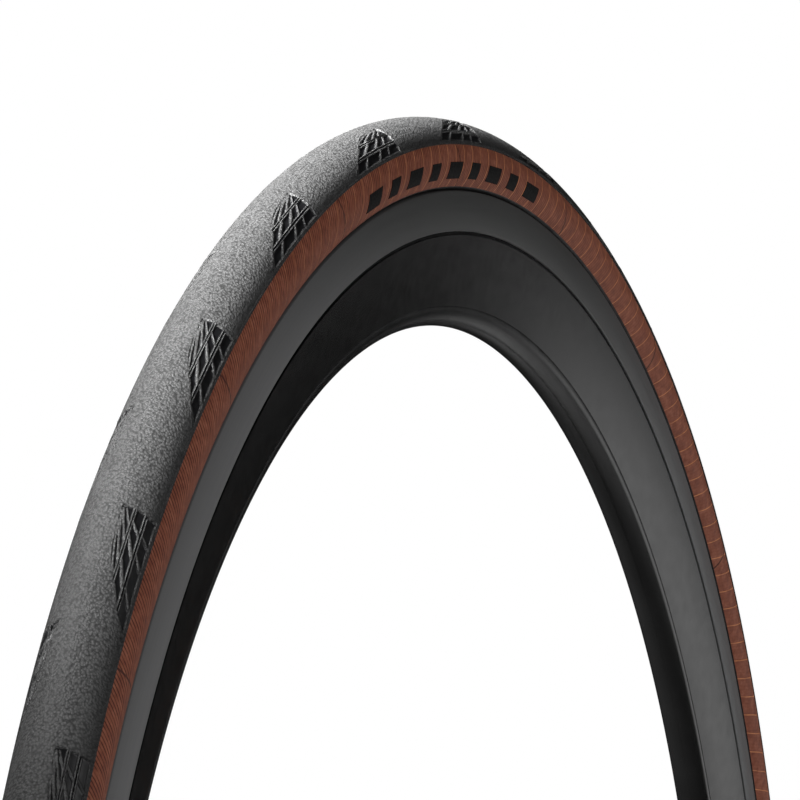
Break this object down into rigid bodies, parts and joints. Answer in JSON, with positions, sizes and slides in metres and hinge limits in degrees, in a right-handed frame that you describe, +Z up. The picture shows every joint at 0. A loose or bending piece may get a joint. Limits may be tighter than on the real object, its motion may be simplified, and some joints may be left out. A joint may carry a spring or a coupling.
{
  "type": "road bicycle tire",
  "caption": "Narrow road bicycle tire with a fine-textured tread and tan casing, inflated on a plain dark deep rim with a valve.",
  "frame": {"origin": "centre of the wheel, on its axle line and midway between the sidewalls", "axes": "+Y along the axle, with the pictured sidewall on the -Y side; +Z up, with the valve at the lowest point; +X the rolling direction of the tread pattern at the top"},
  "size_m": [0.672, 0.0232, 0.672],
  "materials": {
    "tread_rubber": "satin, fine pebbled emboss",
    "breaker": "woven",
    "casing": "parallel threads under rubber",
    "bead_rubber": "matte",
    "aramid": "stranded",
    "chafer_rubber": "matte",
    "skin": "translucent, threads show through",
    "label": "satin",
    "butyl": "matte",
    "tape": "woven",
    "brake_track": "dark anodised, smooth",
    "fairing": "satin black laminate",
    "nickel": "nickel plated, threaded",
    "seal_rubber": "matte",
    "brass": "bright",
    "cap_plastic": "moulded"
  },
  "bodies": {
    "tire_on_rim": {"tread": "tread_rubber", "breaker_belt": "breaker", "casing_ply": "casing", "casing_turnup_left": "casing", "casing_turnup_right": "casing", "bead_filler_left": "bead_rubber", "bead_filler_right": "bead_rubber", "bead_core_left": "aramid", "bead_core_right": "aramid", "chafer_left": "chafer_rubber", "chafer_right": "chafer_rubber", "sidewall_skin_left": "skin", "sidewall_skin_right": "skin", "label_left": "label", "label_right": "label", "inner_tube": "butyl", "rim_tape": "tape", "rim_hoop": "brake_track", "rim_fairing": "fairing", "valve_patch": "butyl", "valve_stem": "nickel", "valve_o_ring": "seal_rubber", "valve_core_body": "brass"},
    "lock_ring": {"valve_lock_ring": "nickel"},
    "valve_pin": {"valve_pin": "brass", "valve_pin_seal": "seal_rubber"},
    "core_nut": {"valve_core_nut": "brass"},
    "dust_cap": {"valve_cap": "cap_plastic"}
  },
  "joints": [
    {"name": "lock_ring_spin", "type": "hinge", "parent": "tire_on_rim", "child": "lock_ring", "pos_m": [0, 0, -0.275], "axis": [0, 0, 1], "continuous": true},
    {"name": "valve_pin_press", "type": "slide", "parent": "tire_on_rim", "child": "valve_pin", "axis": [0, 0, 1], "range_m": [-0.0015, 0], "stiffness_N_per_m": 600, "springref_m": 0.001},
    {"name": "core_nut_spin", "type": "hinge", "parent": "valve_pin", "child": "core_nut", "pos_m": [0, 0, -0.25], "axis": [0, 0, 1], "continuous": true},
    {"name": "dust_cap_lift", "type": "slide", "parent": "tire_on_rim", "child": "dust_cap", "axis": [0, 0, 1], "range_m": [0, 0.03]}
  ]
}
